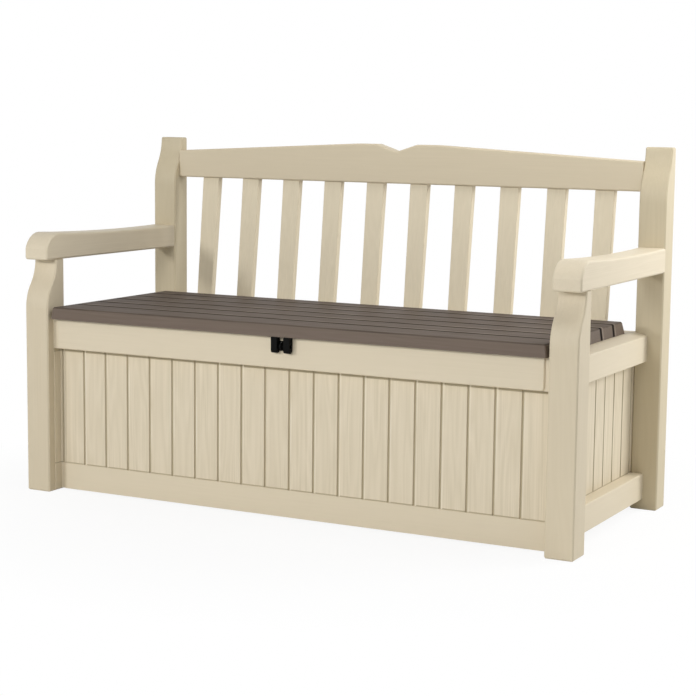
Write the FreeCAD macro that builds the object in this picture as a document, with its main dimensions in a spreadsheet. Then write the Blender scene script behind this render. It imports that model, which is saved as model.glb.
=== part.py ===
import FreeCAD, Part
import os
from types import SimpleNamespace

import Sketcher
from FreeCAD import Vector

# Driving sizes of an outdoor storage bench, in millimetres; heights are above the ground
SIZES = {
    # whole bench
    "bench_width": 1400,
    "bench_depth": 600,
    "bench_height": 840,
    "fit_gap": 0.25,
    # legs and posts
    "arm_overhang": 1.5,
    "leg_width": 65,
    "leg_wall": 3,
    "leg_edge": 3,
    "foot_thickness": 8,
    "drain_width": 12,
    "front_leg_depth": 66,
    "front_leg_top_depth": 29,
    "front_sweep_height": 115,
    "rear_post_depth": 59,
    "rear_post_top_depth": 26,
    "rear_sweep_height": 122,
    # armrests
    "arm_width": 65,
    "arm_bottom": 555,
    "arm_rear_thickness": 57,
    "arm_front_thickness": 63,
    "arm_nose_setback": 2,
    "arm_nose_height": 26,
    "arm_nose_length": 48,
    "arm_nose_radius": 50,
    "arm_dish_radius": 6500,
    "arm_wall": 3,
    "arm_edge": 3.5,
    "arm_tenon_width": 40,
    "arm_tenon_height": 34,
    "arm_tenon_length": 16,
    "leg_tenon_height": 24,
    # walls of the compartment
    "panel_wall": 3,
    "panel_bottom": 4,
    "panel_groove_width": 6,
    "panel_groove_floor": 2.4,
    "panel_groove_depth": 3,
    "panel_rib_width": 12,
    "panel_rib_depth": 2,
    "panel_tab_height": 60,
    "panel_tab_length": 14,
    "panel_tab_low": 110,
    "panel_tab_high": 255,
    "floor_flange": 20,
    "floor_thickness": 2.5,
    "floor_rib_count": 6,
    # front panel
    "front_panel_setback": 44,
    "front_rail_proud": 26,
    "front_rail_step": 4,
    "front_rail_bottom": 345.5,
    "front_rail_end_gap": 15,
    "front_rail_radius": 8,
    "front_rail_edge": 2.5,
    "front_rail_cell_count": 11,
    "front_skirt_top": 66,
    "front_skirt_proud": 2.5,
    "front_plank_count": 20,
    "front_plank_pitch": 62.4,
    # side panels
    "side_rail_proud": 30.5,
    "side_upper_rail_bottom": 348,
    "side_upper_rail_top": 409,
    "side_lower_rail_bottom": 24,
    "side_lower_rail_top": 85.5,
    "side_rail_radius": 3,
    "side_plank_count": 7,
    "side_plank_pitch": 60,
    "side_rear_plank": 12.5,
    "side_ledge_width": 26,
    # back panel and deck
    "back_panel_setback": 12,
    "back_rail_proud": 6,
    "deck_depth": 119,
    "deck_lip_height": 26,
    # backrest
    "slat_count": 10,
    "slat_pitch": 120,
    "slat_top_width": 49,
    "slat_bottom_width": 44,
    "slat_thickness": 18,
    "slat_wall": 2.2,
    "slat_edge": 1.5,
    "slat_lean": 38,
    "slat_socket_depth": 22,
    "slat_tenon_length": 17,
    "slat_setback": 8,
    # crest rail
    "crest_bottom": 738,
    "crest_thickness": 35,
    "crest_rear_setback": 3,
    "crest_end_height": 69,
    "crest_hump_rise": 27,
    "crest_hump_inner": 55,
    "crest_hump_outer": 110,
    "crest_notch_depth": 18,
    "crest_wall": 3.5,
    "crest_edge": 2.5,
    "crest_tenon_length": 24,
    "crest_tenon_height": 48,
    "crest_tenon_thickness": 17,
    # lid
    "lid_bottom": 417,
    "lid_rest_gap": 0.3,
    "lid_length": 1254,
    "lid_depth": 487,
    "lid_thickness": 28,
    "lid_setback": 3,
    "lid_end_draft": 4,
    "lid_front_draft": 3,
    "lid_rear_draft": 11,
    "lid_wall": 3,
    "lid_skirt": 8,
    "lid_rear_skirt": 15,
    "lid_rib": 7,
    "lid_cross_rib": 3,
    "lid_edge": 2.5,
    "lid_plank_count": 6,
    "lid_front_plank": 95,
    "lid_rear_plank": 70,
    "lid_cell_count": 11,
    "lid_groove_width": 4,
    "lid_groove_depth": 2.6,
    # hinges
    "hinge_spacing": 840,
    "hinge_axis_offset": 9,
    "hinge_axis_rise": 4,
    "hinge_floor_gap": 1,
    "knuckle_radius": 9,
    "knuckle_length": 40,
    "knuckle_gap": 0.5,
    "ear_length": 12,
    "pin_radius": 4,
    "pin_clearance": 0.05,
    "pin_head_radius": 6,
    "pin_head_length": 2,
    # latch
    "latch_axis_setback": 8.5,
    "latch_axis_drop": 21,
    "shackle_hole_radius": 4.25,
    "hasp_nose_radius": 7.25,
    "hasp_ear_reach": 36,
    "hasp_ear_inner": 8,
    "hasp_ear_outer": 23.5,
    "hasp_plate_length": 27,
    "hasp_plate_thickness": 4,
    "hasp_plate_lift": 5,
    "eye_width": 4,
    "eye_nose_radius": 8.25,
    "eye_plate_width": 44,
    "eye_plate_height": 22,
    "eye_plate_thickness": 2,
    "hasp_boss_width": 10,
}


# Sizes that remember the formula they come from
def value_of(item):
    return item.value if isinstance(item, Size) else item


def formula_of(item):
    return item.formula if isinstance(item, Size) else str(item)


class Size:
    def __init__(self, value, formula):
        self.value = value
        self.formula = formula

    def __add__(self, other):
        return Size(self.value + value_of(other), f"({self.formula} + {formula_of(other)})")

    def __sub__(self, other):
        return Size(self.value - value_of(other), f"({self.formula} - {formula_of(other)})")

    def __mul__(self, other):
        return Size(self.value * value_of(other), f"({self.formula} * {formula_of(other)})")

    def __truediv__(self, other):
        return Size(self.value / value_of(other), f"({self.formula} / {formula_of(other)})")

    def __neg__(self):
        return Size(-self.value, f"(0 - {self.formula})")


doc = FreeCAD.newDocument("storage_bench")
sheet = doc.addObject("Spreadsheet::Sheet", "Sizes")
for row, (alias, number) in enumerate(SIZES.items(), start=1):
    sheet.set(f"A{row}", alias)
    sheet.set(f"B{row}", str(number))
    sheet.setAlias(f"B{row}", alias)
doc.recompute()
S = SimpleNamespace(**{alias: Size(number, f"Sizes.{alias}") for alias, number in SIZES.items()})


# Sketches with every point and radius tied to the sheet
def bind(item, path, size):
    item.setExpression(path, formula_of(size))


def fix_number(sketch, kind, size, *places):
    index = sketch.addConstraint(Sketcher.Constraint(kind, *places, value_of(size)))
    sketch.renameConstraint(index, f"{kind}{index}")
    bind(sketch, f"Constraints.{kind}{index}", size)


def fix_point(sketch, geometry, end, across, up):
    for kind, axis, size in (("DistanceX", -2, across), ("DistanceY", -1, up)):
        if value_of(size) == 0:
            sketch.addConstraint(Sketcher.Constraint("PointOnObject", geometry, end, axis))
        else:
            fix_number(sketch, kind, size, -1, 1, geometry, end)


def arc_between(start, finish, radius):
    chord = finish - start
    sagitta = radius - (radius**2 - (chord.Length / 2) ** 2) ** 0.5
    aside = Vector(chord.y, -chord.x, 0).normalize() * sagitta
    return Part.Arc(start, (start + finish) / 2 + aside, finish)


def draw_loop(sketch, corners):
    # a third value on a corner is the radius of the arc that leaves it, negative for a right turn
    points = [Vector(value_of(corner[0]), value_of(corner[1]), 0) for corner in corners]
    ends = []
    for corner, start, finish in zip(corners, points, points[1:] + points[:1]):
        radius = corner[2] if len(corner) > 2 else None
        if radius is None:
            ends.append((sketch.addGeometry(Part.LineSegment(start, finish), False), 1, 2))
        elif value_of(radius) > 0:
            ends.append((sketch.addGeometry(arc_between(start, finish, value_of(radius)), False), 1, 2))
        else:
            ends.append((sketch.addGeometry(arc_between(finish, start, -value_of(radius)), False), 2, 1))
    for place, (geometry, start, finish) in enumerate(ends):
        before, _, before_finish = ends[place - 1]
        sketch.addConstraint(Sketcher.Constraint("Coincident", before, before_finish, geometry, start))
    for corner, (geometry, start, finish) in zip(corners, ends):
        fix_point(sketch, geometry, start, corner[0], corner[1])
        if len(corner) > 2:
            fix_number(sketch, "Radius", corner[2] if value_of(corner[2]) > 0 else -corner[2], geometry)


def draw_circle(sketch, across, up, radius):
    centre = Vector(value_of(across), value_of(up), 0)
    geometry = sketch.addGeometry(Part.Circle(centre, Vector(0, 0, 1), value_of(radius)), False)
    fix_point(sketch, geometry, 3, across, up)
    fix_number(sketch, "Radius", radius, geometry)


def rectangle(left, low, right, high):
    return [(left, low), (right, low), (right, high), (left, high)]


def eased_rectangle(left, low, right, high, edge):
    return [
        (left + edge, low),
        (right - edge, low),
        (right, low + edge),
        (right, high - edge),
        (right - edge, high),
        (left + edge, high),
        (left, high - edge),
        (left, low + edge),
    ]


def new_body(label):
    body = doc.addObject("PartDesign::Body", label)
    body.Label = label
    return body


def origin_of(body, role):
    return next(feature for feature in body.Origin.OriginFeatures if feature.Role == role)


def sketch_on(body, role, lift, loops=(), circles=()):
    sketch = body.newObject("Sketcher::SketchObject", f"{body.Name}_sketch")
    sketch.AttachmentSupport = [(origin_of(body, role), "")]
    sketch.MapMode = "FlatFace"
    sketch.AttachmentOffset = FreeCAD.Placement(Vector(0, 0, value_of(lift)), FreeCAD.Rotation())
    bind(sketch, "AttachmentOffset.Base.z", lift)
    for corners in loops:
        draw_loop(sketch, corners)
    for circle in circles:
        draw_circle(sketch, *circle)
    return sketch


# lengthwise sections face +X, level sections face +Z, and cross sections are set by their Y and face -Y
def section_x(body, x, loops=(), circles=()):
    return sketch_on(body, "YZ_Plane", x, loops, circles)


def section_y(body, y, loops=(), circles=()):
    return sketch_on(body, "XZ_Plane", -y, loops, circles)


def section_z(body, z, loops=(), circles=()):
    return sketch_on(body, "XY_Plane", z, loops, circles)


# Solid features
def volume_of(body):
    return body.Shape.Volume if body.Tip else 0


def pad(body, sketch, length, towards=1):
    before = volume_of(body)
    feature = body.newObject("PartDesign::Pad", f"{body.Name}_pad")
    feature.Profile = sketch
    bind(feature, "Length", length)
    feature.Reversed = towards < 0
    doc.recompute()
    if volume_of(body) <= before:
        raise ValueError(f"a pad of {body.Label} adds nothing")
    return feature


def cut(body, sketch, length, towards=1):
    before = volume_of(body)
    feature = body.newObject("PartDesign::Pocket", f"{body.Name}_pocket")
    feature.Profile = sketch
    bind(feature, "Length", length)
    feature.Reversed = towards > 0
    doc.recompute()
    if volume_of(body) >= before:
        raise ValueError(f"a pocket of {body.Label} removes nothing")
    return feature


def loft(body, kind, sketch, last):
    feature = body.newObject(kind, f"{body.Name}_loft")
    feature.Profile = sketch
    feature.Sections = [last]
    feature.Ruled = True
    doc.recompute()
    return feature


def repeat(body, feature, role, length, count):
    pattern = body.newObject("PartDesign::LinearPattern", f"{body.Name}_pattern")
    pattern.Originals = [feature]
    pattern.Direction = (origin_of(body, role), [""])
    bind(pattern, "Length", length)
    bind(pattern, "Occurrences", count)
    body.Tip = pattern
    doc.recompute()
    return pattern


def ease_edges(body, kind, path, size, wanted):
    tip = body.Tip
    names = [f"Edge{place}" for place, edge in enumerate(tip.Shape.Edges, start=1) if wanted(edge.BoundBox)]
    feature = body.newObject(kind, f"{body.Name}_edges")
    feature.Base = (tip, names)
    bind(feature, path, size)
    doc.recompute()
    return feature


def round_edges(body, radius, wanted):
    return ease_edges(body, "PartDesign::Fillet", "Radius", radius, wanted)


def bevel_edges(body, size, wanted):
    return ease_edges(body, "PartDesign::Chamfer", "Size", size, wanted)


def at(low, high, *sizes):
    return any(abs(low - value_of(size)) < 0.01 and abs(high - value_of(size)) < 0.01 for size in sizes)


def mirrored(body, label):
    feature = doc.addObject("Part::Mirroring", label)
    feature.Label = label
    feature.Source = body
    feature.Normal = Vector(1, 0, 0)
    doc.recompute()
    return feature


# Places shared by mating pieces
front = -S.bench_depth / 2
rear = S.bench_depth / 2
leg_outer = S.bench_width / 2 - S.arm_overhang
leg_inner = leg_outer - S.leg_width
leg_middle = leg_outer - S.leg_width / 2
front_leg_rear = front + S.front_leg_depth
front_leg_top = front_leg_rear - S.front_leg_top_depth
post_front = rear - S.rear_post_depth
post_top_front = rear - S.rear_post_top_depth
wall_inner = leg_inner - S.panel_wall
side_rail_outer = leg_inner + S.side_rail_proud
rim = S.lid_bottom - S.lid_rest_gap
front_wall = front + S.front_panel_setback
front_wall_rear = front_wall + S.panel_wall
front_rail = front_wall - S.front_rail_proud
back_wall = rear - S.back_panel_setback
back_wall_inner = back_wall - S.panel_wall
floor_bottom = S.panel_bottom + S.panel_wall
hinge_z = S.lid_bottom + S.hinge_axis_rise
deck_top = hinge_z - S.knuckle_radius - S.hinge_floor_gap
deck_front = back_wall_inner - S.deck_depth
deck_under = deck_top - S.panel_wall
crest_rear = rear - S.crest_rear_setback
crest_front = crest_rear - S.crest_thickness
crest_middle = crest_front + S.crest_thickness / 2
slat_low = deck_top - S.slat_socket_depth
slat_high = S.crest_bottom + S.slat_tenon_length
slat_low_front = crest_front + S.slat_setback - S.slat_lean
slat_end = S.slat_pitch * (S.slat_count - 1) / 2
lid_front = front + S.lid_setback
lid_rear = lid_front + S.lid_depth
lid_top = S.lid_bottom + S.lid_thickness
lid_end = S.lid_length / 2
hinge_y = lid_rear + S.hinge_axis_offset
latch_y = front + S.latch_axis_setback
latch_z = S.lid_bottom - S.latch_axis_drop
bore = S.pin_radius + S.pin_clearance
tab_heights = (S.panel_tab_low, S.panel_tab_high)
side_rails = (
    (S.side_lower_rail_bottom, S.side_lower_rail_top),
    (S.side_upper_rail_bottom, S.side_upper_rail_top),
)
side_tab_inner = side_rail_outer - S.panel_wall * 2


def slat_front_at(height):
    crest_line = crest_front + S.slat_setback
    return crest_line - S.slat_lean * (S.crest_bottom - height) / (S.crest_bottom - slat_low)


def sweep_radius(rise, run):
    return (rise * rise + run * run) / (run * 4)


# Front legs: hollow, with an S-shaped sweep under the armrest and a tenon that enters it
front_run = front_leg_top - front
front_radius = sweep_radius(S.front_sweep_height, front_run)
front_sweep_low = S.arm_bottom - S.front_sweep_height
leg_cavity = S.leg_width - S.leg_wall * 2
front_leg_right = new_body("front_leg_right")
outline = [
    (front, 0),
    (front_leg_rear, 0),
    (front_leg_rear, S.arm_bottom),
    (front_leg_top, S.arm_bottom, -front_radius),
    (front + front_run / 2, S.arm_bottom - S.front_sweep_height / 2, front_radius),
    (front, front_sweep_low),
]
pad(front_leg_right, section_x(front_leg_right, leg_inner, [outline]), S.leg_width)
bevel_edges(
    front_leg_right,
    S.leg_edge,
    lambda box: not at(box.ZMin, box.ZMax, S.arm_bottom)
    and (at(box.XMin, box.XMax, leg_inner, leg_outer) or at(box.ZMin, box.ZMax, 0)),
)
hollow = rectangle(front + S.leg_wall, S.foot_thickness, front_leg_rear - S.leg_wall, front_sweep_low)
cut(front_leg_right, section_x(front_leg_right, leg_inner + S.leg_wall, [hollow]), leg_cavity)
drain = rectangle(
    leg_middle - S.drain_width / 2,
    front_leg_rear - S.drain_width * 3 / 2,
    leg_middle + S.drain_width / 2,
    front_leg_rear - S.drain_width / 2,
)
cut(front_leg_right, section_z(front_leg_right, 0, [drain]), S.foot_thickness)
leg_tenon = rectangle(
    leg_middle - S.arm_tenon_width / 2,
    front_leg_top + S.leg_wall,
    leg_middle + S.arm_tenon_width / 2,
    front_leg_rear - S.leg_wall,
)
pad(front_leg_right, section_z(front_leg_right, S.arm_bottom, [leg_tenon]), S.leg_tenon_height)


# Rear posts: hollow, with the same sweep at the top
rear_run = post_top_front - post_front
rear_radius = sweep_radius(S.rear_sweep_height, rear_run)
rear_sweep_low = S.bench_height - S.rear_sweep_height
rear_post_right = new_body("rear_post_right")
outline = [
    (post_front, 0),
    (rear, 0),
    (rear, S.bench_height),
    (post_top_front, S.bench_height, -rear_radius),
    (post_front + rear_run / 2, S.bench_height - S.rear_sweep_height / 2, rear_radius),
    (post_front, rear_sweep_low),
]
pad(rear_post_right, section_x(rear_post_right, leg_inner, [outline]), S.leg_width)
bevel_edges(
    rear_post_right,
    S.leg_edge,
    lambda box: at(box.XMin, box.XMax, leg_inner, leg_outer) or at(box.ZMin, box.ZMax, 0, S.bench_height),
)
hollow = rectangle(post_front + S.leg_wall, S.foot_thickness, rear - S.leg_wall, rear_sweep_low)
cut(rear_post_right, section_x(rear_post_right, leg_inner + S.leg_wall, [hollow]), leg_cavity)
drain = rectangle(
    leg_middle - S.drain_width / 2,
    post_front + S.drain_width / 2,
    leg_middle + S.drain_width / 2,
    post_front + S.drain_width * 3 / 2,
)
cut(rear_post_right, section_z(rear_post_right, 0, [drain]), S.foot_thickness)
arm_tenon_low = S.arm_bottom + (S.arm_rear_thickness - S.arm_tenon_height) / 2
mortise = rectangle(
    leg_middle - S.arm_tenon_width / 2 - S.fit_gap,
    arm_tenon_low - S.fit_gap,
    leg_middle + S.arm_tenon_width / 2 + S.fit_gap,
    arm_tenon_low + S.arm_tenon_height + S.fit_gap,
)
cut(rear_post_right, section_y(rear_post_right, post_front, [mortise]), S.leg_wall, -1)
crest_tenon_front = crest_middle - S.crest_tenon_thickness / 2 + S.crest_rear_setback
crest_tenon_low = S.crest_bottom + (S.crest_end_height - S.crest_tenon_height) / 2
mortise = rectangle(
    crest_tenon_front - S.fit_gap,
    crest_tenon_low - S.fit_gap,
    crest_tenon_front + S.crest_tenon_thickness + S.fit_gap,
    crest_tenon_low + S.crest_tenon_height + S.fit_gap,
)
cut(rear_post_right, section_x(rear_post_right, leg_inner, [mortise]), S.crest_tenon_length + S.fit_gap)


# Slots of the legs and posts for the tabs of the front, back and side panels
for piece, wall_front, face, towards in (
    (front_leg_right, front_wall, front_leg_rear, 1),
    (rear_post_right, back_wall_inner, post_front, -1),
):
    slots = [
        rectangle(
            wall_front - S.fit_gap,
            low - S.fit_gap,
            wall_front + S.panel_wall + S.fit_gap,
            low + S.panel_tab_height + S.fit_gap,
        )
        for low in tab_heights
    ]
    cut(piece, section_x(piece, leg_inner, slots), S.leg_wall)
    slots = [
        rectangle(
            side_tab_inner - S.fit_gap,
            low + S.panel_wall * 2 - S.fit_gap,
            side_tab_inner + S.panel_wall + S.fit_gap,
            high - S.panel_wall * 2 + S.fit_gap,
        )
        for low, high in side_rails
    ]
    cut(piece, section_y(piece, face, slots), S.leg_wall, towards)


# Armrests: hollow, with a rounded nose and a shallow dish along the top
arm_inner = S.bench_width / 2 - S.arm_width
arm_front = front + S.arm_nose_setback
arm_dish_front = arm_front + S.arm_nose_length
armrest_right = new_body("armrest_right")
outline = [
    (arm_front, S.arm_bottom),
    (post_front, S.arm_bottom),
    (post_front, S.arm_bottom + S.arm_rear_thickness, -S.arm_dish_radius),
    (arm_dish_front, S.arm_bottom + S.arm_front_thickness, S.arm_nose_radius),
    (arm_front, S.arm_bottom + S.arm_nose_height),
]
pad(armrest_right, section_x(armrest_right, arm_inner, [outline]), S.arm_width)
bevel_edges(
    armrest_right,
    S.arm_edge,
    lambda box: not at(box.YMin, box.YMax, post_front)
    and (at(box.XMin, box.XMax, arm_inner, S.bench_width / 2) or at(box.ZMin, box.ZMax, S.arm_bottom)),
)
arm_roof = S.arm_bottom + S.arm_rear_thickness - S.arm_wall * 3
hollow = rectangle(
    arm_front + S.arm_nose_length / 2,
    S.arm_bottom + S.arm_wall,
    post_front - S.arm_wall,
    arm_roof,
)
cut(armrest_right, section_x(armrest_right, arm_inner + S.arm_wall, [hollow]), S.arm_width - S.arm_wall * 2)
socket = rectangle(
    leg_middle - S.arm_tenon_width / 2 - S.fit_gap,
    front_leg_top + S.leg_wall - S.fit_gap,
    leg_middle + S.arm_tenon_width / 2 + S.fit_gap,
    front_leg_rear - S.leg_wall + S.fit_gap,
)
cut(armrest_right, section_z(armrest_right, S.arm_bottom, [socket]), S.arm_wall)
tenon = rectangle(
    leg_middle - S.arm_tenon_width / 2,
    arm_tenon_low,
    leg_middle + S.arm_tenon_width / 2,
    arm_tenon_low + S.arm_tenon_height,
)
pad(armrest_right, section_y(armrest_right, post_front, [tenon]), S.arm_tenon_length, -1)


# Side panels: planked wall between two hollow rails, with a ledge for the lid and a flange for the floor
side_length = post_front - front_leg_rear
wall_length = back_wall_inner - front_wall_rear
side_panel_right = new_body("side_panel_right")
wall = rectangle(wall_inner, S.panel_bottom, leg_inner, rim)
pad(side_panel_right, section_y(side_panel_right, back_wall_inner, [wall]), wall_length)
lower_rail = rectangle(leg_inner, S.side_lower_rail_bottom, side_rail_outer, S.side_lower_rail_top)
upper_rail = [
    (leg_inner, S.side_upper_rail_bottom),
    (side_rail_outer, S.side_upper_rail_bottom),
    (side_rail_outer, S.side_upper_rail_top),
    (leg_inner, rim),
]
pad(side_panel_right, section_y(side_panel_right, post_front, [lower_rail, upper_rail]), side_length)
round_edges(
    side_panel_right,
    S.side_rail_radius,
    lambda box: at(box.XMin, box.XMax, side_rail_outer) and box.YLength > 1,
)
lower_hollow = rectangle(
    leg_inner,
    S.side_lower_rail_bottom + S.panel_wall,
    side_rail_outer - S.panel_wall,
    S.side_lower_rail_top - S.panel_wall,
)
upper_hollow = [
    (leg_inner, S.side_upper_rail_bottom + S.panel_wall),
    (side_rail_outer - S.panel_wall, S.side_upper_rail_bottom + S.panel_wall),
    (side_rail_outer - S.panel_wall, S.side_upper_rail_top - S.panel_wall),
    (leg_inner, rim - S.panel_wall),
]
cut(side_panel_right, section_y(side_panel_right, post_front, [lower_hollow, upper_hollow]), side_length)
tabs = [
    rectangle(
        side_tab_inner,
        low + S.panel_wall * 2,
        side_tab_inner + S.panel_wall,
        high - S.panel_wall * 2,
    )
    for low, high in side_rails
]
pad(
    side_panel_right,
    section_y(side_panel_right, post_front + S.panel_tab_length, tabs),
    side_length + S.panel_tab_length * 2,
)
side_planks = S.side_plank_pitch * S.side_plank_count
groove_y = post_front - S.side_rear_plank - side_planks
groove_half = S.panel_groove_width / 2
groove_floor_half = S.panel_groove_floor / 2
rib_half = S.panel_rib_width / 2
side_groove_height = S.side_upper_rail_bottom - S.side_lower_rail_top
side_rib_low = S.side_lower_rail_top - rib_half
side_rib_height = side_groove_height + S.panel_rib_width
rib = rectangle(wall_inner - S.panel_rib_depth, groove_y - rib_half, wall_inner, groove_y + rib_half)
rib_pad = pad(side_panel_right, section_z(side_panel_right, side_rib_low, [rib]), side_rib_height)
repeat(side_panel_right, rib_pad, "Y_Axis", side_planks, S.side_plank_count + 1)
groove = [
    (leg_inner, groove_y - groove_half),
    (leg_inner, groove_y + groove_half),
    (leg_inner - S.panel_groove_depth, groove_y + groove_floor_half),
    (leg_inner - S.panel_groove_depth, groove_y - groove_floor_half),
]
groove_cut = cut(
    side_panel_right, section_z(side_panel_right, S.side_lower_rail_top, [groove]), side_groove_height
)
repeat(side_panel_right, groove_cut, "Y_Axis", side_planks, S.side_plank_count + 1)
ledge = rectangle(wall_inner - S.side_ledge_width, front_wall_rear, wall_inner, deck_front)
pad(side_panel_right, section_z(side_panel_right, rim, [ledge]), S.panel_wall, -1)
flange = rectangle(wall_inner - S.floor_flange, front_wall_rear, wall_inner, back_wall_inner)
pad(side_panel_right, section_z(side_panel_right, S.panel_bottom, [flange]), S.panel_wall)


# Front panel: planked wall in a shallow frame, with a deep ribbed rail below the lid and a low skirt
rail_end = leg_inner - S.front_rail_end_gap
front_panel = new_body("front_panel")
wall = rectangle(-leg_inner, S.panel_bottom, leg_inner, rim)
pad(front_panel, section_y(front_panel, front_wall_rear, [wall]), S.panel_wall)
tab_end = leg_inner + S.panel_tab_length
tabs = [rectangle(-tab_end, low, tab_end, low + S.panel_tab_height) for low in tab_heights]
pad(front_panel, section_y(front_panel, front_wall_rear, tabs), S.panel_wall)
frame_proud = S.front_rail_proud - S.front_rail_step
frame = [
    (-leg_inner, S.panel_bottom),
    (-wall_inner, S.panel_bottom),
    (-wall_inner, S.front_rail_bottom),
    (wall_inner, S.front_rail_bottom),
    (wall_inner, S.panel_bottom),
    (leg_inner, S.panel_bottom),
    (leg_inner, rim),
    (-leg_inner, rim),
]
pad(front_panel, section_y(front_panel, front_wall, [frame]), frame_proud)
rail = [
    (-rail_end + S.front_rail_radius, S.front_rail_bottom),
    (rail_end - S.front_rail_radius, S.front_rail_bottom, S.front_rail_radius),
    (rail_end, S.front_rail_bottom + S.front_rail_radius),
    (rail_end, rim),
    (-rail_end, rim),
    (-rail_end, S.front_rail_bottom + S.front_rail_radius, S.front_rail_radius),
]
pad(front_panel, section_y(front_panel, front_wall, [rail]), S.front_rail_proud)
bevel_edges(
    front_panel,
    S.front_rail_edge,
    lambda box: at(box.YMin, box.YMax, front_rail) and not at(box.ZMin, box.ZMax, rim),
)
skirt = rectangle(-rail_end, S.panel_bottom, rail_end, S.front_skirt_top)
pad(front_panel, section_y(front_panel, front_wall, [skirt]), S.front_skirt_proud)
cell_pitch = (leg_inner * 2 - S.panel_wall) / S.front_rail_cell_count
cell = rectangle(
    -wall_inner,
    S.front_rail_bottom + S.front_rail_radius,
    -leg_inner + cell_pitch,
    rim - S.panel_wall,
)
cell_cut = cut(front_panel, section_y(front_panel, front_wall_rear, [cell]), frame_proud)
repeat(front_panel, cell_cut, "X_Axis", cell_pitch * (S.front_rail_cell_count - 1), S.front_rail_cell_count)
front_planks = S.front_plank_pitch * S.front_plank_count
groove_x = -front_planks / 2
front_groove_height = S.front_rail_bottom - S.front_skirt_top
front_rib_low = S.front_skirt_top - rib_half
front_rib_height = front_groove_height + S.panel_rib_width
rib_rear = front_wall_rear + S.panel_rib_depth
rib = rectangle(groove_x - rib_half, front_wall_rear, groove_x + rib_half, rib_rear)
rib_pad = pad(front_panel, section_z(front_panel, front_rib_low, [rib]), front_rib_height)
repeat(front_panel, rib_pad, "X_Axis", front_planks, S.front_plank_count + 1)
groove = [
    (groove_x - groove_half, front_wall),
    (groove_x + groove_half, front_wall),
    (groove_x + groove_floor_half, front_wall + S.panel_groove_depth),
    (groove_x - groove_floor_half, front_wall + S.panel_groove_depth),
]
groove_cut = cut(front_panel, section_z(front_panel, S.front_skirt_top, [groove]), front_groove_height)
repeat(front_panel, groove_cut, "X_Axis", front_planks, S.front_plank_count + 1)
flange_end = wall_inner - S.floor_flange
flange = rectangle(-flange_end, front_wall_rear, flange_end, front_wall_rear + S.floor_flange)
pad(front_panel, section_z(front_panel, S.panel_bottom, [flange]), S.panel_wall)


# Back panel: planked wall, the deck behind the lid, sockets for the slats and the fixed hinge ears
back_panel = new_body("back_panel")
wall = rectangle(-leg_inner, S.panel_bottom, leg_inner, deck_top)
pad(back_panel, section_y(back_panel, back_wall, [wall]), S.panel_wall)
tabs = [rectangle(-tab_end, low, tab_end, low + S.panel_tab_height) for low in tab_heights]
pad(back_panel, section_y(back_panel, back_wall, tabs), S.panel_wall)
rails = [
    rectangle(-leg_inner, S.side_lower_rail_bottom, leg_inner, S.side_lower_rail_top),
    rectangle(-leg_inner, S.side_upper_rail_bottom, leg_inner, deck_top),
]
pad(back_panel, section_y(back_panel, back_wall, rails), S.back_rail_proud, -1)
deck = [
    (deck_front, deck_top - S.deck_lip_height),
    (deck_front + S.panel_wall, deck_top - S.deck_lip_height),
    (deck_front + S.panel_wall, deck_under),
    (back_wall_inner, deck_under),
    (back_wall_inner, deck_top),
    (deck_front, deck_top),
]
pad(back_panel, section_x(back_panel, -wall_inner, [deck]), wall_inner * 2)
shelf_front = slat_low_front - S.slat_thickness / 2
shelf = rectangle(shelf_front, slat_low - S.panel_wall, back_wall_inner, slat_low)
pad(back_panel, section_x(back_panel, -wall_inner, [shelf]), wall_inner * 2)
socket_half = S.slat_bottom_width / 2 + S.fit_gap * 3
socket = rectangle(
    -slat_end - socket_half,
    slat_front_at(deck_under) - S.fit_gap,
    -slat_end + socket_half,
    slat_front_at(deck_top) + S.slat_thickness + S.fit_gap,
)
socket_cut = cut(back_panel, section_z(back_panel, deck_top, [socket]), S.panel_wall, -1)
repeat(back_panel, socket_cut, "X_Axis", slat_end * 2, S.slat_count)
rib_front = back_wall_inner - S.panel_rib_depth
rib = rectangle(groove_x - rib_half, rib_front, groove_x + rib_half, back_wall_inner)
rib_pad = pad(back_panel, section_z(back_panel, side_rib_low, [rib]), side_rib_height)
repeat(back_panel, rib_pad, "X_Axis", front_planks, S.front_plank_count + 1)
groove = [
    (groove_x + groove_half, back_wall),
    (groove_x - groove_half, back_wall),
    (groove_x - groove_floor_half, back_wall - S.panel_groove_depth),
    (groove_x + groove_floor_half, back_wall - S.panel_groove_depth),
]
groove_cut = cut(back_panel, section_z(back_panel, S.side_lower_rail_top, [groove]), side_groove_height)
repeat(back_panel, groove_cut, "X_Axis", front_planks, S.front_plank_count + 1)
flange = rectangle(-flange_end, back_wall_inner - S.floor_flange, flange_end, back_wall_inner)
pad(back_panel, section_z(back_panel, S.panel_bottom, [flange]), S.panel_wall)
ear = [
    (hinge_y - S.knuckle_radius, deck_top),
    (hinge_y + S.knuckle_radius, deck_top),
    (hinge_y + S.knuckle_radius, hinge_z, S.knuckle_radius),
    (hinge_y, hinge_z + S.knuckle_radius, S.knuckle_radius),
    (hinge_y - S.knuckle_radius, hinge_z),
]
hinge_bore = (hinge_y, hinge_z, bore)
knuckle_half = S.knuckle_length / 2
ear_near = knuckle_half + S.knuckle_gap
for hinge_x in (-S.hinge_spacing / 2, S.hinge_spacing / 2):
    for ear_start in (hinge_x - ear_near - S.ear_length, hinge_x + ear_near):
        pad(back_panel, section_x(back_panel, ear_start, [ear], [hinge_bore]), S.ear_length)


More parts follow.
